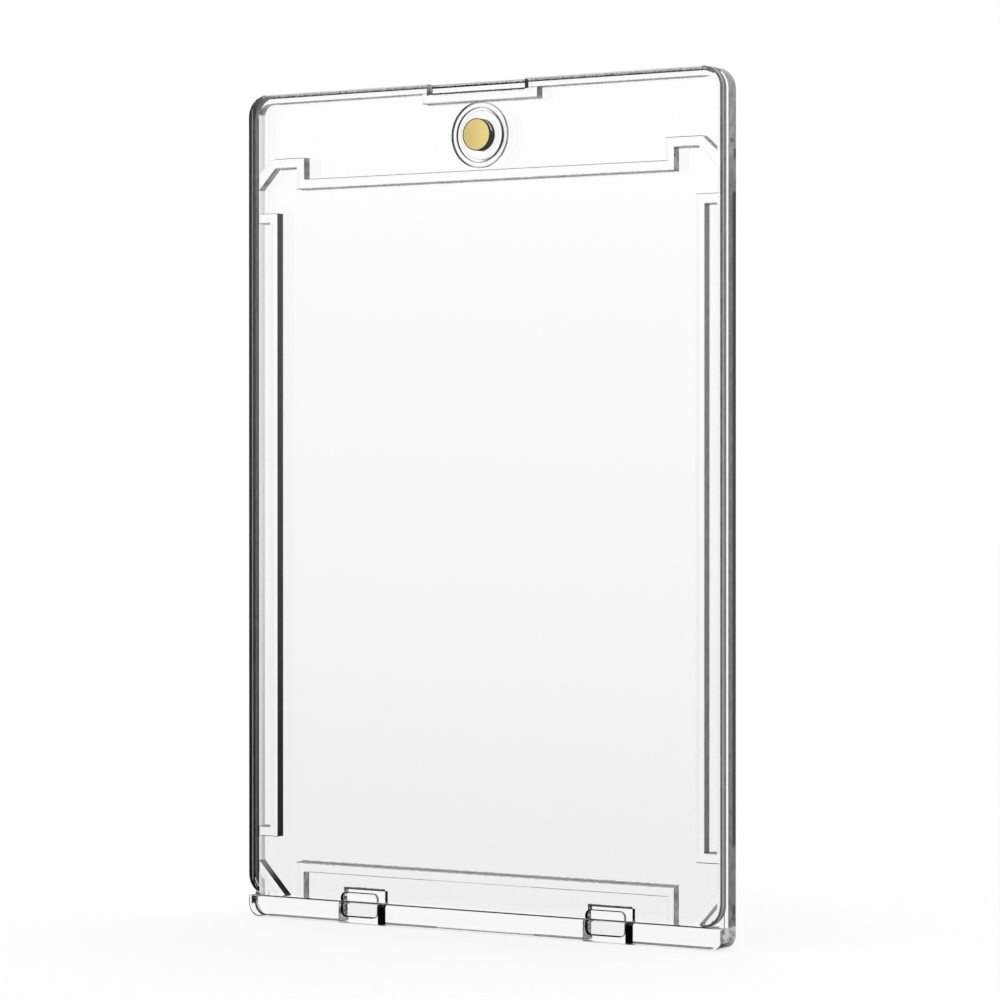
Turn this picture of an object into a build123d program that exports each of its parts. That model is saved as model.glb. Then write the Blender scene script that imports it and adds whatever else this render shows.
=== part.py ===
from build123d import *
import os

# Clear snap-shut card case: a rear tray, a front cover that hooks into the tray's ledge
# and swings open from the top, and a disc magnet in each.
# X runs across the case, Y from front to back, Z up. The origin is the middle of the footprint.
# Millimetres.

# The card that the case is made for
card_width = 63.5
card_height = 88.9
card_side_play = 0.55
card_end_play = 0.37

# Outside of the closed case
case_width = 73.0
case_height = 110.0
cover_thickness = 1.45
closing_gap = 0.05
pocket_depth = 1.3
floor_thickness = 1.05
corner_radius = 2.85
foot_radius = 1.75
edge_round = 0.3

# Seam between tray and cover
seam_height = 0.5
seam_depth = 0.5

# Tray: rim, rails and card recess
rim_wall = 1.15
recess_bottom = 7.6
rib_side = 1.2
rib_cross = 1.3
rail_bottom = 10.78
rail_length = 83.4
ear_half_width = 29.1
ear_height = 2.88
ear_bend = 3.6
ear_slope_run = 2.6
ear_slope_drop = 2.72
ear_pocket_run = 2.2
ear_pocket_drop = 1.98
low_rib = 1.1
corner_rib_rise = 4.7
corner_rib_run = 4.53
corner_pocket_rise = 3.1
corner_pocket_run = 2.78

# Ledge, hook slots and hook tabs
ledge_height = 2.8
hinge_gap = 0.1
slot_spacing = 38.0
slot_width = 6.62
slot_top = 4.27
slot_corner = 0.3
hook_clearance = 0.1
tab_side_play = 0.41
tab_top = 4.03
tab_bottom = 0.74
tab_thickness = 0.65
tab_corner = 0.8
tab_round = 0.2

# Finger notch and the pad behind it
notch_width = 15.15
notch_depth = 1.3
pad_overhang = 1.25
pad_depth = 2.51

# Magnets, the ring on the cover and the boss in the tray
magnet_drop = 6.9
magnet_diameter = 4.1
magnet_thickness = 1.3
magnet_skin = 0.3
glue_gap = 0.04
ring_outer = 8.56
ring_wall = 0.76
ring_height = 0.45
boss_play = 0.31
boss_gap = 0.1
magnet_recess = 0.2
magnet_chamfer = 0.08

# Worked out from the sizes above
case_depth = cover_thickness + closing_gap + pocket_depth + floor_thickness
front_y = -case_depth / 2
back_y = case_depth / 2
parting_y = front_y + cover_thickness
tray_face_y = parting_y + closing_gap
floor_y = tray_face_y + pocket_depth
web_y = parting_y - hook_clearance
half_width = case_width / 2
rim_x = half_width - rim_wall
rail_x = card_width / 2 + card_side_play
recess_top = recess_bottom + card_height + 2 * card_end_play
rail_top = rail_bottom + rail_length
ear_top = recess_top + ear_height
magnet_z = case_height - magnet_drop
ring_inner = ring_outer - 2 * ring_wall
boss_diameter = ring_inner - 2 * boss_play
boss_y = parting_y + ring_height + boss_gap
margin = 1.0


def slab(sketch, near_y, far_y):
    # A face drawn in X and Z, made solid from near_y at the front to far_y at the back.
    face_plane = Plane((0, far_y, 0), x_dir=(1, 0, 0), z_dir=(0, -1, 0))
    return extrude(face_plane * sketch, far_y - near_y, dir=(0, -1, 0))


def rectangle(x_from, x_to, z_from, z_to):
    middle = Pos((x_from + x_to) / 2, (z_from + z_to) / 2)
    return middle * Rectangle(x_to - x_from, z_to - z_from)


def rounded(sketch, low_radius, high_radius):
    # Rounds the two lowest and the two highest corners of a rectangle.
    corners = sketch.vertices().sort_by(Axis.Y)
    sketch = fillet(corners[:2], low_radius)
    corners = sketch.vertices().sort_by(Axis.Y)
    return fillet(corners[-2:], high_radius)


def both_sides(sketch):
    return sketch + mirror(sketch, about=Plane.YZ)


def edges_at(solid, y):
    return solid.edges().filter_by_position(Axis.Y, y - 0.001, y + 0.001)


def disc(diameter, near_y, far_y):
    return slab(Pos(0, magnet_z) * Circle(diameter / 2), near_y, far_y)


def side_rail():
    # A rail beside the card, turned out to the rim at both ends, round a long shallow pocket.
    block = rectangle(rail_x, half_width, rail_bottom, rail_top)
    pocket = rectangle(rail_x + rib_side, half_width, rail_bottom + rib_cross, rail_top - rib_cross)
    return both_sides(block - pocket)


def top_rib():
    # The rib over the card. It steps up into an ear at each corner and slopes down to the rim.
    bend_x = ear_half_width + ear_bend
    foot_x = bend_x + ear_slope_run
    pocket_bend_x = rim_x - ear_pocket_run
    pocket_top = ear_top + rib_cross
    step_x = ear_half_width - rib_side
    slope = ear_slope_drop / ear_slope_run
    pocket_slope = ear_pocket_drop / ear_pocket_run
    half = Polygon(
        (0, recess_top),
        (ear_half_width, recess_top),
        (ear_half_width, ear_top),
        (bend_x, ear_top),
        (foot_x, ear_top - ear_slope_drop),
        (half_width, ear_top - ear_slope_drop - slope * (half_width - foot_x)),
        (half_width, pocket_top - pocket_slope * (half_width - pocket_bend_x)),
        (pocket_bend_x, pocket_top),
        (step_x, pocket_top),
        (step_x, recess_top + rib_cross),
        (0, recess_top + rib_cross),
        align=None,
    )
    return both_sides(half)


def bottom_rib():
    # The rib under the card, with a leg down to the ledge at each end.
    block = rectangle(-ear_half_width, ear_half_width, ledge_height, recess_bottom)
    pocket_x = ear_half_width - low_rib
    return block - rectangle(-pocket_x, pocket_x, ledge_height, recess_bottom - rib_cross)


def corner_ribs():
    # A sloping rib across each lower corner, from the rim down to the ledge.
    rise = corner_rib_rise / corner_rib_run
    pocket_rise = corner_pocket_rise / corner_pocket_run
    half = Polygon(
        (rim_x - corner_rib_run, ledge_height),
        (half_width, ledge_height + corner_rib_rise + rise * rim_wall),
        (half_width, ledge_height + corner_pocket_rise + pocket_rise * rim_wall),
        (rim_x - corner_pocket_run, ledge_height),
        align=None,
    )
    return both_sides(half)


def notch_pad():
    half = notch_width / 2 + pad_overhang
    return rectangle(-half, half, case_height - pad_depth, case_height)


def slots(width, z_from, z_to):
    faces = [
        rectangle(side * slot_spacing / 2 - width / 2, side * slot_spacing / 2 + width / 2, z_from, z_to)
        for side in (-1, 1)
    ]
    return faces[0] + faces[1]


def rear_tray():
    outline = rounded(rectangle(-half_width, half_width, 0, case_height), foot_radius, corner_radius)
    above_ledge = rectangle(-case_width, case_width, ledge_height, case_height + margin)
    ledge = outline - above_ledge
    seam_y = parting_y + seam_height / 2
    body = slab(outline, seam_y, back_y) + slab(ledge, front_y, seam_y)
    body = fillet(edges_at(body, front_y), edge_round)
    body = fillet(edges_at(body, back_y), edge_round)
    body += slab(offset(outline, -seam_depth) & above_ledge, tray_face_y, seam_y)
    core = offset(outline, -rim_wall) & above_ledge
    body -= slab(core, tray_face_y, floor_y)
    ribs = side_rail() + top_rib() + bottom_rib() + corner_ribs() + notch_pad()
    body += slab(ribs & offset(outline, -(seam_depth + rim_wall) / 2), tray_face_y, floor_y)
    body += disc(boss_diameter, boss_y, floor_y)
    magnet_seat_y = boss_y + magnet_recess + magnet_thickness + glue_gap
    body -= disc(magnet_diameter + 2 * glue_gap, boss_y, magnet_seat_y)
    openings = slab(slots(slot_width, -margin, slot_top), web_y, back_y + margin)
    openings = fillet(edges_at(openings, web_y).filter_by(Axis.Z), slot_corner)
    return body - openings


def hook_tabs():
    width = slot_width - 2 * tab_side_play
    tabs = slab(slots(width, tab_bottom, tab_top), parting_y, parting_y + tab_thickness)
    tabs = fillet(tabs.edges().filter_by(Axis.Y), tab_corner)
    return fillet(edges_at(tabs, parting_y + tab_thickness), tab_round)


def front_cover():
    cover_bottom = ledge_height + hinge_gap
    outline = rectangle(-half_width, half_width, cover_bottom, case_height)
    outline = rounded(outline, corner_radius, corner_radius)
    seam_y = parting_y - seam_height / 2
    body = slab(outline, front_y, seam_y)
    body = fillet(edges_at(body, front_y), edge_round)
    rebated = offset(outline, -seam_depth) + (outline & rectangle(
        corner_radius - half_width, half_width - corner_radius, cover_bottom, cover_bottom + corner_radius))
    body += slab(rebated, seam_y, parting_y)
    half_notch = notch_width / 2
    notch = rectangle(-half_notch, half_notch, case_height - notch_depth, case_height + margin)
    body -= slab(notch, front_y - margin, parting_y + margin)
    body += disc(ring_outer, parting_y, parting_y + ring_height)
    body -= disc(ring_inner, parting_y, parting_y + ring_height)
    body -= disc(magnet_diameter + 2 * glue_gap, front_y + magnet_skin, parting_y)
    return body + hook_tabs()


def magnet(face_y):
    solid = disc(magnet_diameter, face_y, face_y + magnet_thickness)
    return chamfer(edges_at(solid, face_y), magnet_chamfer)


parts = {
    "rear_tray": rear_tray(),
    "front_cover": front_cover(),
    "front_magnet": magnet(front_y + magnet_skin + glue_gap),
    "rear_magnet": magnet(boss_y + magnet_recess),
}

os.makedirs("parts", exist_ok=True)
for name, solid in parts.items():
    export_step(solid, f"parts/{name}.step")
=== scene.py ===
import math

import bpy
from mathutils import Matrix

# A clear one-card display case: hooked front cover, recessed rear tray, gold disc magnets.
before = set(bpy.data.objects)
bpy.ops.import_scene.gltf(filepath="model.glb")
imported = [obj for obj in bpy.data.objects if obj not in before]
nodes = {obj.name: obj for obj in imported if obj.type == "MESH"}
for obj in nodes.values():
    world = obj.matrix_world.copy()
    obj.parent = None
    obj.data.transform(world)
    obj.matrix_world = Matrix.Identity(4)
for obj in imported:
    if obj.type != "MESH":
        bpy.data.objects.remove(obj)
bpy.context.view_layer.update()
print("case loaded:", ", ".join(sorted(nodes)))

mm = 0.001  # the scene is in metres
acrylicIor = 1.49
magnetHeight = 103.1  # mm, the middle of both magnets


def hexColor(code):
    # sRGB hex to the linear values that the shaders want
    channels = [int(code[i:i + 2], 16) / 255 for i in (0, 2, 4)]
    linear = [c / 12.92 if c <= 0.04045 else ((c + 0.055) / 1.055) ** 2.4 for c in channels]
    return (*linear, 1.0)


def addNode(tree, kind, settings=None, links=None):
    # adds one node; settings go to its properties or its inputs, links feed its inputs
    node = tree.nodes.new(kind)
    for key, value in (settings or {}).items():
        if isinstance(key, str) and hasattr(node, key):
            setattr(node, key, value)
        else:
            node.inputs[key].default_value = value
    for key, source in (links or {}).items():
        tree.links.new(source, node.inputs[key])
    return node


def newMaterial(name):
    material = bpy.data.materials.new(name)
    material.use_nodes = True
    tree = material.node_tree
    tree.nodes.clear()
    return material, tree, addNode(tree, "ShaderNodeOutputMaterial")


# Patterns shared by the materials, all in mm from the middle of the foot
def millimetres(tree):
    # the place on the piece as one point, and as the axes that the tables below name
    place = addNode(tree, "ShaderNodeTexCoord")
    inMm = addNode(tree, "ShaderNodeVectorMath", {"operation": "SCALE", "Scale": 1 / mm},
                   {0: place.outputs["Object"]})
    point = inMm.outputs[0]
    x, y, z = addNode(tree, "ShaderNodeSeparateXYZ", None, {0: point}).outputs
    return point, {"x": x, "y": y, "z": z}


def eitherSide(tree, axes):
    # the same to the left and to the right of the middle
    return addNode(tree, "ShaderNodeMath", {"operation": "ABSOLUTE"}, {0: axes["x"]}).outputs[0]


def fromMagnet(tree, point):
    # how far round from the middle of the magnets
    flat = addNode(tree, "ShaderNodeVectorMath", {"operation": "MULTIPLY", 1: (1, 0, 1)}, {0: point})
    reach = addNode(tree, "ShaderNodeVectorMath", {"operation": "DISTANCE", 1: (0, 0, magnetHeight)},
                    {0: flat.outputs[0]})
    return reach.outputs["Value"]


def raggedHeight(tree, point, axes, grain, detail, reach):
    # the height, wandering up and down by the reach, so that an edge across it isn't ruled; grain is per mm
    noise = addNode(tree, "ShaderNodeTexNoise", {"Scale": grain, "Detail": detail}, {"Vector": point})
    wander = addNode(tree, "ShaderNodeMapRange", {"To Min": -reach, "To Max": reach}, {"Value": noise.outputs[0]})
    return addNode(tree, "ShaderNodeMath", {"operation": "ADD"}, {0: axes["z"], 1: wander.outputs[0]}).outputs[0]


def zone(tree, axes, *limits):
    # 1 where every limit is met: an axis with the mm where it is 0 and where it is 1, or a factor made before
    whole = None
    for limit in limits:
        part = limit
        if isinstance(limit, tuple):
            axis, none, full = limit
            step = addNode(tree, "ShaderNodeMapRange", {
                "interpolation_type": "SMOOTHSTEP", "From Min": none, "From Max": full}, {"Value": axes[axis]})
            part = step.outputs[0]
        if whole is not None:
            both = addNode(tree, "ShaderNodeMath", {"operation": "MULTIPLY"}, {0: whole, 1: part})
            part = both.outputs[0]
        whole = part
    return whole


def insideBox(tree, point, low, high, soft):
    # 1 inside a box, fading to 0 over the soft width outside it
    middle = [(near + far) / 2 for near, far in zip(low, high)]
    half = [(far - near) / 2 for near, far in zip(low, high)]
    offset = addNode(tree, "ShaderNodeVectorMath", {"operation": "SUBTRACT", 1: middle}, {0: point})
    away = addNode(tree, "ShaderNodeVectorMath", {"operation": "ABSOLUTE"}, {0: offset.outputs[0]})
    past = addNode(tree, "ShaderNodeVectorMath", {"operation": "SUBTRACT", 1: half}, {0: away.outputs[0]})
    x, y, z = addNode(tree, "ShaderNodeSeparateXYZ", None, {0: past.outputs[0]}).outputs
    wide = addNode(tree, "ShaderNodeMath", {"operation": "MAXIMUM"}, {0: x, 1: y})
    most = addNode(tree, "ShaderNodeMath", {"operation": "MAXIMUM"}, {0: wide.outputs[0], 1: z})
    fade = addNode(tree, "ShaderNodeMapRange", {"From Min": 0.0, "From Max": soft, "To Min": 1.0, "To Max": 0.0},
                   {"Value": most.outputs[0]})
    return fade.outputs[0]


def patches(tree, point, grain, dark=0.38, light=0.62):
    # soft blotches between 0 and 1; grain is in blotches per mm, dark and light are the noise levels at 0 and 1
    noise = addNode(tree, "ShaderNodeTexNoise", {"Scale": grain, "Detail": 5.0, "Roughness": 0.65}, {"Vector": point})
    spread = addNode(tree, "ShaderNodeMapRange", {"From Min": dark, "From Max": light}, {"Value": noise.outputs[0]})
    return spread.outputs[0]


def coats(tree, base, *layers):
    # tones over a base tone, each where its factor is 1; a tone is a hex code or a node's output
    for factor, tone in layers:
        coat = addNode(tree, "ShaderNodeMix", {"data_type": "RGBA"}, {0: factor})
        for socket, color in ((6, base), (7, tone)):
            if isinstance(color, str):
                coat.inputs[socket].default_value = hexColor(color)
            else:
                tree.links.new(color, coat.inputs[socket])
        base = coat.outputs[2]
    return base


def areasOf(tree, point, axes, areas):
    # areas of tone, one over the other and the first one everywhere: each has one tone or two, the patches that
    # mix two, and its limits
    whole = None
    for tones, grain, limits in areas:
        tone = coats(tree, tones[0], (patches(tree, point, *grain), tones[1])) if grain else tones[0]
        whole = tone if whole is None else coats(tree, whole, (zone(tree, axes, *limits), tone))
    return whole


# Clear plastic
clearPlastic = {
    "roughness": 0.0, "paintedShade": "181818", "edge": 0.03,
    # how the painted shade lines waver: grain per mm, its detail and the reach in mm
    "waver": (2.5, 2.0, 0.12),
    # soft lines of painted shade beside the walls, the same left and right: near and far corner in mm, then strength
    "shadeLines": [
        ((0, -0.45, 97.14), (29.1, 0.95, 97.34), 0.8),
        ((29.1, -0.45, 100.02), (32.7, 0.95, 100.22), 0.8),
        ((0, -0.45, 107.37), (8.82, 0.95, 107.6), 0.7),
        ((0, -0.45, 7.46), (29.1, 0.95, 7.72), 0.8),
        ((0, -0.45, 108.79), (33.0, 0.95, 108.9), 0.7),
        ((33.5, -0.45, 92.8), (35.3, 0.95, 92.98), 0.8),
        ((33.5, -0.45, 11.98), (35.3, 0.95, 12.16), 0.8),
        ((15.69, 0.8, 4.23), (22.31, 0.95, 4.55), 1.0),
        ((0, -2.0, 108.5), (7.57, -1.8, 108.74), 1.0),
    ],
    # rings of painted shade round the magnet: radius and depth from-to in mm, strength at the left and at the right
    "shadeRings": [
        (4.1, 4.4, -0.04, -0.01, 1.0, 0.15),
        (3.5, 3.62, -0.04, -0.01, 0.75, 0.75),
        (3.1, 3.3, 0.06, 0.09, 0.4, 0.5),
    ],
    "shadeRingTurn": (-2.0, 3.0),  # mm across, over which a ring goes from its left strength to its right one
}


def makeClearPlastic():
    # Clear injection-moulded acrylic: water-clear faces with a hard gloss, and thin grey lines and rings of painted
    # shade beside the walls and round the magnet.
    material, tree, output = newMaterial("clearAcrylic")
    point, axes = millimetres(tree)
    folded = addNode(tree, "ShaderNodeCombineXYZ", None, {
        0: eitherSide(tree, axes), 1: axes["y"], 2: raggedHeight(tree, point, axes, *clearPlastic["waver"])})
    around = addNode(tree, "ShaderNodeCombineXYZ", None, {0: fromMagnet(tree, point), 1: axes["y"]})
    paintedShades = []
    for low, high, strength in clearPlastic["shadeLines"]:
        inside = insideBox(tree, folded.outputs[0], low, high, clearPlastic["edge"])
        paintedShades.append(addNode(tree, "ShaderNodeMath", {"operation": "MULTIPLY", 1: strength}, {0: inside}))
    for near, far, front, back, left, right in clearPlastic["shadeRings"]:
        ring = insideBox(tree, around.outputs[0], (near, front, -1), (far, back, 1), clearPlastic["edge"])
        turn = addNode(tree, "ShaderNodeMapRange", {
            "From Min": clearPlastic["shadeRingTurn"][0], "From Max": clearPlastic["shadeRingTurn"][1],
            "To Min": left, "To Max": right}, {"Value": axes["x"]})
        paintedShades.append(addNode(tree, "ShaderNodeMath", {"operation": "MULTIPLY"}, {0: ring, 1: turn.outputs[0]}))
    darkest = paintedShades[0]
    for paintedShade in paintedShades[1:]:
        darkest = addNode(tree, "ShaderNodeMath", {"operation": "MAXIMUM"},
                          {0: darkest.outputs[0], 1: paintedShade.outputs[0]})
    tint = coats(tree, "FFFFFF", (darkest.outputs[0], clearPlastic["paintedShade"]))
    shader = addNode(tree, "ShaderNodeBsdfPrincipled", {
        "Roughness": clearPlastic["roughness"], "IOR": acrylicIor, "Transmission Weight": 1.0}, {"Base Color": tint})
    tree.links.new(shader.outputs["BSDF"], output.inputs["Surface"])
    return material


# Gold plate
goldPlate = {
    # the shade to light tones across the disc are a painted highlight; the black rim is painted shadow
    "shade": "EBCB70", "light": "FFE98F", "across": ("x", -2.2, 2.2), "rough": (0.08, 0.2), "grain": 3.0,
    "blackShade": "000000", "shadowRim": (("reach", 1.58, 1.66), ("y", 0.0, 0.1)),
}


def makeGoldPlate():
    # Gold-plated nickel magnet: warm yellow metal, finely lapped, painted lighter to the right as a highlight, with a
    # black ring of painted shadow over the rear one's rim.
    material, tree, output = newMaterial("goldPlate")
    point, axes = millimetres(tree)
    axes["reach"] = fromMagnet(tree, point)
    tone = coats(tree, goldPlate["shade"], (zone(tree, axes, goldPlate["across"]), goldPlate["light"]),
                 (zone(tree, axes, *goldPlate["shadowRim"]), goldPlate["blackShade"]))
    grain = addNode(tree, "ShaderNodeTexNoise", {"Scale": goldPlate["grain"], "Detail": 3.0}, {"Vector": point})
    rough = addNode(tree, "ShaderNodeMapRange", {
        "To Min": goldPlate["rough"][0], "To Max": goldPlate["rough"][1]}, {"Value": grain.outputs[0]})
    shader = addNode(tree, "ShaderNodeBsdfPrincipled", {"Metallic": 1.0},
                     {"Base Color": tone, "Roughness": rough.outputs[0]})
    tree.links.new(shader.outputs["BSDF"], output.inputs["Surface"])
    return material


# Ground edge with painted shade
toRight = ("x", -0.1, 0.1)
toLeft = ("x", 0.1, -0.1)
coverLeft = (toLeft, ("y", -0.4, -0.7))

groundEdgeShade = {
    "roughness": 0.38, "gloss": 0.32,
    "areas": [
        # grey tones of painted shade over the whole edge
        (("747474", "8E8E8E"), (0.9,), ()),
        (("C6C6C6",), None, (("y", -1.72, -1.58), ("y", -1.28, -1.42), toRight)),  # painted highlight: bright line along the cover
        (("9A9A98", "BCBCBA"), (0.9,), (("z", 94.0, 101.0), ("y", -0.4, -0.3))),  # upper end of the tray
        (("202020",), None, (("y", 0.75, 0.95), ("z", 94.6, 94.2), ("z", 12.6, 13.2), toRight)),  # rear border of painted shade
        # the cover's left side nearly black: painted shade
        (("080808",), None, coverLeft),
        (("6A6A6A", "D0D0D0"), (2.2,), (("z", 107.6, 109.4), toLeft)),  # painted shade and highlight mottled round the bend of the upper left corner
        (("86827E", "F4F1EC"), (0.8, 0.42, 0.56), (("z", 3.1, 2.7), toRight)),  # mottled pale brown-grey at the lower end
    ],
    # dark blotches of painted shade on the right side: near and far corner of each in mm
    "shadeBlotches": [((36.3, 0.4, 100.7), (36.7, 1.1, 100.8)), ((36.3, 1.2, 98.6), (36.7, 1.6, 99.6)),
              ((36.3, 0.9, 3.8), (36.7, 1.4, 5.4))],
    "shadeBlotch": "161616", "shadeBlotchSoft": 0.3, "shadeBlotchGrain": (2.0, 0.36, 0.52),
    # seen from inside: clear when looked straight through, frosted from the slant on
    "slant": (0.25, 0.45), "clear": (1.0, 0.02), "flat": ("across", 36.4, 36.48),
    "tint": "E2E2E0", "deepTint": "B8B8B8", "lowTint": "848486", "deep": ("y", 0.3, 1.3), "low": ("z", 60.0, 10.0),
}


def makeGroundEdgeShade():
    # Acrylic ground at the mould's parting edge: a frosted skin painted grey and black as shade, with a painted
    # highlight line, clear when looked straight through, grey at a slant.
    material, tree, output = newMaterial("groundAcrylicEdgePaintedShade")
    point, axes = millimetres(tree)
    axes["across"] = eitherSide(tree, axes)
    tone = areasOf(tree, point, axes, groundEdgeShade["areas"])
    for low, high in groundEdgeShade["shadeBlotches"]:
        shadeBlotch = zone(tree, axes, insideBox(tree, point, low, high, groundEdgeShade["shadeBlotchSoft"]),
                    patches(tree, point, *groundEdgeShade["shadeBlotchGrain"]))
        tone = coats(tree, tone, (shadeBlotch, groundEdgeShade["shadeBlotch"]))
    slant = addNode(tree, "ShaderNodeLayerWeight", {"Blend": 0.5})
    side = addNode(tree, "ShaderNodeNewGeometry")
    through = addNode(tree, "ShaderNodeMapRange", {
        "From Min": groundEdgeShade["slant"][0], "From Max": groundEdgeShade["slant"][1],
        "To Min": groundEdgeShade["clear"][0], "To Max": groundEdgeShade["clear"][1]}, {"Value": slant.outputs["Facing"]})
    clear = zone(tree, axes, through.outputs[0], groundEdgeShade["flat"], side.outputs["Backfacing"])
    deepTint = coats(tree, groundEdgeShade["deepTint"], (zone(tree, axes, groundEdgeShade["low"]), groundEdgeShade["lowTint"]))
    tint = coats(tree, groundEdgeShade["tint"], (zone(tree, axes, groundEdgeShade["deep"]), deepTint))
    gloss = addNode(tree, "ShaderNodeMapRange", {"To Min": groundEdgeShade["gloss"], "To Max": 0.0},
                    {"Value": zone(tree, axes, *coverLeft)})
    shader = addNode(tree, "ShaderNodeBsdfPrincipled", {"Roughness": groundEdgeShade["roughness"], "IOR": acrylicIor}, {
        "Base Color": coats(tree, tone, (clear, tint)), "Transmission Weight": clear,
        "Specular IOR Level": gloss.outputs[0]})
    tree.links.new(shader.outputs["BSDF"], output.inputs["Surface"])
    return material


# Tooled wall with painted shade
tooledWallShade = {
    "roughness": 0.3,
    "areas": [
        # grey tones of painted shade
        (("787878", "8E8E8E"), (0.8,), ()),
        (("545454", "CECECE"), (0.6, 0.42, 0.58), (("z", 95.0, 96.5),)),  # painted shade and highlight mottled round the upper corners
        (("9A9A9C", "E2E2E4"), (0.5, 0.4, 0.6), (("z", 12.0, 8.0),)),  # lighter painted shade, mottled, round the lower corners
    ],
}


def makeTooledWallShade():
    # Acrylic wall, rough outside with grey tones of painted shade, a clean mirror when seen through the plastic.
    material, tree, output = newMaterial("tooledAcrylicWallPaintedShade")
    point, axes = millimetres(tree)
    within = addNode(tree, "ShaderNodeNewGeometry").outputs["Backfacing"]
    tone = areasOf(tree, point, axes, tooledWallShade["areas"])
    rough = addNode(tree, "ShaderNodeMapRange", {"To Min": tooledWallShade["roughness"], "To Max": 0.0}, {"Value": within})
    shader = addNode(tree, "ShaderNodeBsdfPrincipled", {"IOR": acrylicIor}, {
        "Base Color": coats(tree, tone, (within, "FFFFFF")), "Roughness": rough.outputs[0],
        "Transmission Weight": within})
    tree.links.new(shader.outputs["BSDF"], output.inputs["Surface"])
    return material


# Sawn groove with painted shade
sawnGrooveShade = {
    "roughness": 0.5, "gloss": 0.06, "clear": "FBFBFB",
    "areas": [
        # near-black painted shade over the whole groove
        (("040404", "1C1C1C"), (1.2,), ()),
        (("D8D8D8",), None, (("x", -36.41, -36.33), ("x", -36.15, -36.23), ("z", 2.7, 2.9))),  # a lighter line on the left
        (("8C8C8C",), None, (("across", 36.1, 35.2), ("across", 33.0, 34.0), ("z", 107.0, 107.5))),  # upper bends
        (("C4C4C6",), None, (("z", 4.6, 7.4), ("z", 9.2, 9.0), ("x", -35.7, -35.6))),  # lower left slope
    ],
    # how the upper border wavers, grain per mm, its detail and the reach in mm, and where it ends
    "waver": (3.5, 3.0, 0.2), "border": ("ragged", 109.7, 109.76),
    "coverTop": (("y", -0.66, -0.7), ("z", 109.2, 109.35), ("x", -34.6, -34.4)),
    # the left end of the ledge is polished, but for one line of painted shadow round it that widens at the top
    "ledgeEnd": (("x", -34.5, -34.6), ("z", 2.9, 2.8), ("y", -1.62, -1.58)),
    "ledgeLine": (("y", 0.55, 0.67), ("y", 1.35, 1.23)),
    "ledgeWedge": (("y", -0.75, -0.55), ("y", 1.25, 1.05), ("z", 1.4, 1.8)),
}


def makeSawnGrooveShade():
    # Acrylic groove left rough: a near-black skin of painted shade with a ragged upper border and one lighter line
    # along it.
    material, tree, output = newMaterial("sawnAcrylicGroovePaintedShade")
    point, axes = millimetres(tree)
    axes["across"] = eitherSide(tree, axes)
    axes["ragged"] = raggedHeight(tree, point, axes, *sawnGrooveShade["waver"])
    tone = areasOf(tree, point, axes, sawnGrooveShade["areas"])
    dark = addNode(tree, "ShaderNodeMath", {"operation": "MAXIMUM"}, {
        0: zone(tree, axes, *sawnGrooveShade["ledgeLine"]), 1: zone(tree, axes, *sawnGrooveShade["ledgeWedge"])})
    bright = addNode(tree, "ShaderNodeMapRange", {"To Min": 1.0, "To Max": 0.0}, {"Value": dark.outputs[0]})
    ledge = zone(tree, axes, bright.outputs[0], *sawnGrooveShade["ledgeEnd"])
    polished = addNode(tree, "ShaderNodeMath", {"operation": "MAXIMUM"}, {
        0: ledge, 1: zone(tree, axes, *sawnGrooveShade["coverTop"])})
    clear = addNode(tree, "ShaderNodeMath", {"operation": "MAXIMUM"}, {
        0: zone(tree, axes, sawnGrooveShade["border"]), 1: polished.outputs[0]})
    rough = addNode(tree, "ShaderNodeMapRange", {"To Min": sawnGrooveShade["roughness"], "To Max": 0.0},
                    {"Value": polished.outputs[0]})
    shader = addNode(tree, "ShaderNodeBsdfPrincipled", {
        "IOR": acrylicIor, "Specular IOR Level": sawnGrooveShade["gloss"]}, {
        "Base Color": coats(tree, tone, (clear.outputs[0], sawnGrooveShade["clear"])), "Roughness": rough.outputs[0],
        "Transmission Weight": clear.outputs[0]})
    tree.links.new(shader.outputs["BSDF"], output.inputs["Surface"])
    return material


# Eased edge
easedEdge = {
    "roughness": 0.4, "clear": (0.12, 1.0),
    "areas": [(("F0F0F0", "FFFFFF"), (1.5,), ())],
    "behindNotch": ("across", 7.7, 7.5),
    "footFront": (("z", 2.0, 1.0), ("y", 0.2, -0.2)),
}


def makeEasedEdge():
    # Acrylic edge eased by hand: a pale satin rounding whose near-white tone is a painted highlight, clearer along
    # the foot's front and behind the notch.
    material, tree, output = newMaterial("easedAcrylicEdge")
    point, axes = millimetres(tree)
    axes["across"] = eitherSide(tree, axes)
    most = addNode(tree, "ShaderNodeMath", {"operation": "MAXIMUM"}, {
        0: zone(tree, axes, easedEdge["behindNotch"]), 1: zone(tree, axes, *easedEdge["footFront"])})
    clear = addNode(tree, "ShaderNodeMapRange", {"To Min": easedEdge["clear"][0], "To Max": easedEdge["clear"][1]},
                    {"Value": most.outputs[0]})
    shader = addNode(tree, "ShaderNodeBsdfPrincipled", {"Roughness": easedEdge["roughness"], "IOR": acrylicIor}, {
        "Base Color": areasOf(tree, point, axes, easedEdge["areas"]), "Transmission Weight": clear.outputs[0]})
    tree.links.new(shader.outputs["BSDF"], output.inputs["Surface"])
    return material


# Cast wall
castWall = {"roughness": 0.35, "gloss": 0.5, "paintedReflection": "000000", "areas": [(("9C9C9C", "C8C8C8"), (0.8,), ())]}


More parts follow.
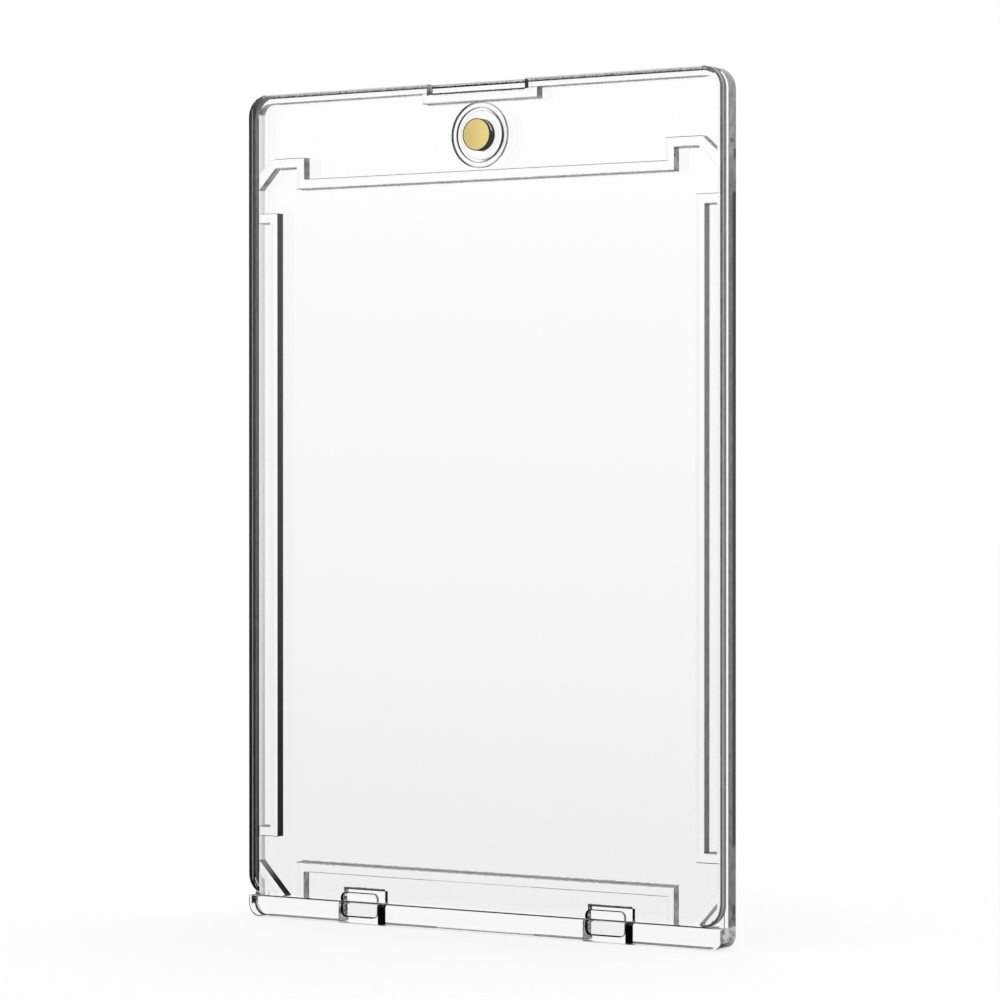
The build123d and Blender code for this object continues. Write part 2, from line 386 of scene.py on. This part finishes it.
def makeCastWall():
    # Acrylic wall cast smooth: painted black reflection where seen through the plastic, pale grey painted shade
    # outside.
    material, tree, output = newMaterial("castAcrylicWallPaintedReflection")
    point, axes = millimetres(tree)
    within = addNode(tree, "ShaderNodeNewGeometry").outputs["Backfacing"]
    tone = areasOf(tree, point, axes, castWall["areas"])
    gloss = addNode(tree, "ShaderNodeMapRange", {"To Min": castWall["gloss"], "To Max": 0.0}, {"Value": within})
    shader = addNode(tree, "ShaderNodeBsdfPrincipled", {"Roughness": castWall["roughness"], "IOR": acrylicIor}, {
        "Base Color": coats(tree, tone, (within, castWall["paintedReflection"])), "Specular IOR Level": gloss.outputs[0]})
    tree.links.new(shader.outputs["BSDF"], output.inputs["Surface"])
    return material


# Black painted shadow
paintedBlackShade = {
    "color": "000000", "clear": "F6F6F6", "roughness": 0.5,
    # how its upper border wavers, grain per mm, its detail and the reach in mm, and where the seat is bare
    "waver": (1.6, 3.0, 0.5), "bare": (("ragged", 103.5, 103.75), ("y", -1.15, -0.95), ("z", 106.0, 105.9)),
}


def makePaintedBlackShade():
    # Black painted shadow on the magnets' sides and the cover's seat: black low in the seat, thin and clear above.
    material, tree, output = newMaterial("paintedBlackShade")
    point, axes = millimetres(tree)
    axes["ragged"] = raggedHeight(tree, point, axes, *paintedBlackShade["waver"])
    bare = zone(tree, axes, *paintedBlackShade["bare"])
    shader = addNode(tree, "ShaderNodeBsdfPrincipled", {
        "Roughness": paintedBlackShade["roughness"], "IOR": acrylicIor, "Specular IOR Level": 0.0}, {
        "Base Color": coats(tree, paintedBlackShade["color"], (bare, paintedBlackShade["clear"])), "Transmission Weight": bare})
    tree.links.new(shader.outputs["BSDF"], output.inputs["Surface"])
    return material


# Which face gets which finish: places are in mm, and a face leans along an axis when its normal has at least this
# share of it.
lean = {"square": 0.95, "most": 0.5, "some": 0.3, "little": 0.15, "least": 0.05, "flatLedge": 0.995}
rim = {"side": 36.3, "foot": 3.0, "low": 0.35, "high": 109.65}
seam = {"front": -0.8, "back": -0.1, "sides": 35.9, "top": 109.3}
corner = {"x": 33.65, "z": 107.15, "lowZ": 5.75, "outer": 2.55, "seam": 2.2}
ledgeEnd = {"x": -34.7, "top": 2.75}
ribUnderside = {"low": 6.0, "high": 6.6}
slot = {"middle": 19.0, "half": 3.5, "top": 4.5, "tabFront": -0.47, "bottomFace": 0.3}
magnetSeat = {"cover": 2.3, "boss": 3.3, "ringInner": 3.9, "ringOuter": 4.5}
notch = {"half": 7.8, "bottom": 108.5}
leftRail = {"from": -33.0, "to": -32.0}
rimInside = {"from": 34.5, "to": 36.0}
lowerLeft = {"x": -30.0, "z": 9.0}


def onRim(x, y, z, normal, cover):
    # the outer skin of both shells: the seam's groove, the rounded corners and the long sides, or None elsewhere
    across = abs(x)
    level = abs(normal.y) > lean["square"]
    upper = across > corner["x"] and z > corner["z"]
    lower = cover and across > corner["x"] and z < corner["lowZ"]
    bend = 0.0
    if upper or lower:
        bend = math.hypot(across - corner["x"], z - (corner["z"] if upper else corner["lowZ"]))
    onSide = across > rim["side"] or bend > corner["outer"]
    inGroove = across > seam["sides"] or z > seam["top"] or (upper and bend > corner["seam"])
    if seam["front"] < y < seam["back"] and inGroove:
        if not onSide and abs(normal.y) < lean["most"]:
            return "sawnShade"
        if level and cover:
            return "sawnShade" if normal.y > 0 else "polished"
        if level:
            return "sawnShade" if z > seam["top"] and normal.y < 0 else "polished"
    if not cover and x < ledgeEnd["x"] and z < ledgeEnd["top"] and abs(normal.y) < lean["flatLedge"]:
        if normal.y < -lean["some"]:
            return "sawnShade" if normal.x < -lean["least"] else "polished"
        return "sawnShade" if normal.x < -lean["some"] and normal.y < lean["some"] else "polished"
    if not onSide or level:
        return None
    if z < rim["foot"] and x < 0:
        return "sawnShade" if normal.y < -lean["some"] else "polished"
    if abs(normal.y) < lean["some"] or upper:
        return "groundShade"
    if x > 0:
        return "groundShade" if normal.y < 0 or z < rim["foot"] else "polished"
    return "sawnShade" if normal.y > lean["some"] else "polished"


def onWalls(x, y, z, normal, cover):
    # the walls inside: ribs, rails, hooks, slots, notch, ring and magnet seats
    across = abs(x)
    sideways = abs(normal.x) > lean["square"]
    if abs(normal.x) < lean["some"] and (z < rim["low"] or z > rim["high"]):
        return "eased"
    if normal.z < -lean["square"] and ribUnderside["low"] < z < ribUnderside["high"]:
        return "eased"
    if cover and z < slot["top"] and y > slot["tabFront"]:
        return "cast"
    if z < slot["top"] and abs(across - slot["middle"]) < slot["half"]:
        return "cast" if normal.x < lean["little"] else "polished"
    if abs(normal.y) > lean["most"] or z < slot["bottomFace"]:
        return "polished"
    reach = math.hypot(x, z - magnetHeight)
    if reach < magnetSeat["cover"] and cover:
        return "blackShade"
    if reach < magnetSeat["boss"]:
        return "polished"
    if reach < magnetSeat["ringInner"]:
        return "cast" if normal.x < -lean["some"] else "sawnShade"
    if reach < magnetSeat["ringOuter"]:
        return "sawnShade" if normal.x < lean["some"] else "tooledShade"
    if cover and z > notch["bottom"] and across < notch["half"]:
        return "tooledShade" if normal.x > lean["square"] else "cast"
    if sideways and leftRail["from"] < x < leftRail["to"]:
        return "sawnShade" if normal.x > 0 else "tooledShade"
    if sideways and rimInside["from"] < across < rimInside["to"]:
        return "polished"
    if x < lowerLeft["x"] and z < lowerLeft["z"] and normal.x > lean["some"]:
        return "sawnShade"
    return "tooledShade"


def finishOf(face, cover):
    place = [value / mm for value in face.center]
    finish = onRim(*place, face.normal, cover)
    if finish is None and abs(face.normal.y) > lean["square"]:
        finish = "polished"
    return finish or onWalls(*place, face.normal, cover)


finishes = {
    "polished": makeClearPlastic(), "groundShade": makeGroundEdgeShade(), "tooledShade": makeTooledWallShade(),
    "blackShade": makePaintedBlackShade(), "sawnShade": makeSawnGrooveShade(), "eased": makeEasedEdge(), "cast": makeCastWall(),
}
gold = makeGoldPlate()


def dress(node, materials, choose):
    # gives the node its materials, and each face the one that choose names by its place in the list
    mesh = nodes[node].data
    mesh.materials.clear()
    for material in materials:
        mesh.materials.append(material)
    for face in mesh.polygons:
        face.material_index = choose(face)


finishOrder = list(finishes)
for shell in ("rear_tray", "front_cover"):
    dress(shell, finishes.values(), lambda face: finishOrder.index(finishOf(face, shell == "front_cover")))
for disc in ("front_magnet", "rear_magnet"):
    dress(disc, (gold, finishes["blackShade"]), lambda face: 0 if abs(face.normal.y) > lean["most"] else 1)
print("materials on")

# Studio
studio = {"floorSize": 6.0, "paper": "7C7C7C", "glow": 0.8, "bounces": 32, "mirrorBounces": 16}


def makeFloor():
    bpy.ops.object.select_all(action="DESELECT")
    bpy.ops.mesh.primitive_plane_add(size=studio["floorSize"], location=(0, 0, 0))
    floor = bpy.context.active_object
    floor.name = "floor"
    material, tree, output = newMaterial("palePaper")
    path = addNode(tree, "ShaderNodeLightPath")
    glow = addNode(tree, "ShaderNodeEmission", {"Strength": studio["glow"]})
    paper = addNode(tree, "ShaderNodeBsdfDiffuse", {"Color": hexColor(studio["paper"])})
    both = addNode(tree, "ShaderNodeAddShader", None, {0: glow.outputs[0], 1: paper.outputs[0]})
    pick = addNode(tree, "ShaderNodeMixShader", None, {
        "Fac": path.outputs["Is Camera Ray"], 1: paper.outputs[0], 2: both.outputs[0]})
    tree.links.new(pick.outputs[0], output.inputs["Surface"])
    floor.data.materials.append(material)
    floor.visible_transmission = False
    floor.visible_glossy = False


makeFloor()

camera = {
    "place": (271.6 * mm, -414.3 * mm, 58.45 * mm), "turn": 33.0, "tilt": -0.292, "lens": 137.8, "sensor": 36,
    "near": 0.01, "far": 50,
}


def makeCamera():
    bpy.ops.object.camera_add(location=camera["place"])
    view = bpy.context.active_object
    view.rotation_euler = (math.radians(90 + camera["tilt"]), 0, math.radians(camera["turn"]))
    view.data.lens = camera["lens"]
    view.data.sensor_width = camera["sensor"]
    view.data.clip_start = camera["near"]
    view.data.clip_end = camera["far"]
    bpy.context.scene.camera = view


makeCamera()

# White all round for light that has only passed through. What mirrors once in the plastic is a room with soft panels,
# and what mirrors again and again on its way along a wall is darker.
room = {
    "once": {"level": 0.03, "panels": [
        # turn and rise of the middle, half width and half height, soft borders of both, in degrees, then level
        (147, 18, 5, 12, 3, 14, 0.95),
        (0, 0, 55, 45, 15, 20, 0.95),
        (33, -6.5, 7, 3, 2, 1, 0.03),
        (33, 6.5, 7, 3, 2, 1, 0.03),
    ]},
    "often": {"level": 0.75, "panels": [
        (-39, 0, 4, 12, 1, 2, 0.02),
        (143.5, 0, 2, 12, 1.5, 2, 0.02),
        (-30, 0, 3, 12, 2, 2, 0.28),
        (150, 0, 3, 12, 2, 2, 0.28),
    ]},
}


def roomLevel(tree, turn, rise, part):
    # lays the soft panels of one table over its plain level
    level = None
    for middle, height, wide, tall, softWide, softTall, glow in room[part]["panels"]:
        sides = []
        for angle, centre, half, soft in ((turn, middle, wide, softWide), (rise, height, tall, softTall)):
            off = addNode(tree, "ShaderNodeMath", {"operation": "SUBTRACT", 1: math.radians(centre)},
                          {0: angle.outputs[0]})
            around = addNode(tree, "ShaderNodeMath", {"operation": "WRAP", 1: math.pi, 2: -math.pi},
                             {0: off.outputs[0]})
            away = addNode(tree, "ShaderNodeMath", {"operation": "ABSOLUTE"}, {0: around.outputs[0]})
            sides.append(addNode(tree, "ShaderNodeMapRange", {
                "interpolation_type": "SMOOTHSTEP", "From Min": math.radians(half),
                "From Max": math.radians(half + soft), "To Min": 1.0, "To Max": 0.0}, {"Value": away.outputs[0]}))
        shape = addNode(tree, "ShaderNodeMath", {"operation": "MULTIPLY"},
                        {0: sides[0].outputs[0], 1: sides[1].outputs[0]})
        mixed = addNode(tree, "ShaderNodeMix", {"data_type": "FLOAT", 2: room[part]["level"], 3: glow},
                        {0: shape.outputs[0]})
        if level:
            tree.links.new(level.outputs[0], mixed.inputs[2])
        level = mixed
    return level


def makeRoom():
    world = bpy.data.worlds.new("studio")
    bpy.context.scene.world = world
    world.use_nodes = True
    tree = world.node_tree
    tree.nodes.clear()
    place = addNode(tree, "ShaderNodeTexCoord")
    axes = addNode(tree, "ShaderNodeSeparateXYZ", None, {0: place.outputs["Generated"]})
    left = addNode(tree, "ShaderNodeMath", {"operation": "MULTIPLY", 1: -1.0}, {0: axes.outputs["X"]})
    turn = addNode(tree, "ShaderNodeMath", {"operation": "ARCTAN2"}, {0: left.outputs[0], 1: axes.outputs["Y"]})
    rise = addNode(tree, "ShaderNodeMath", {"operation": "ARCSINE"}, {0: axes.outputs["Z"]})
    path = addNode(tree, "ShaderNodeLightPath")
    light = None
    for depth, part in ((0.5, "once"), (1.5, "often")):  # from one mirroring on, and from two on
        level = roomLevel(tree, turn, rise, part)
        deeper = addNode(tree, "ShaderNodeMath", {"operation": "GREATER_THAN", 1: depth},
                         {0: path.outputs["Glossy Depth"]})
        chosen = addNode(tree, "ShaderNodeMix", {"data_type": "FLOAT", 2: 1.0},
                         {0: deeper.outputs[0], 3: level.outputs[0]})
        if light:
            tree.links.new(light.outputs[0], chosen.inputs[2])
        light = chosen
    sky = addNode(tree, "ShaderNodeBackground", {"Color": (1, 1, 1, 1)}, {"Strength": light.outputs[0]})
    addNode(tree, "ShaderNodeOutputWorld", None, {"Surface": sky.outputs[0]})


makeRoom()

scene = bpy.context.scene
scene.view_settings.view_transform = "Standard"
scene.cycles.max_bounces = studio["bounces"]
scene.cycles.transmission_bounces = studio["bounces"]
scene.cycles.glossy_bounces = studio["mirrorBounces"]

print("studio ready")
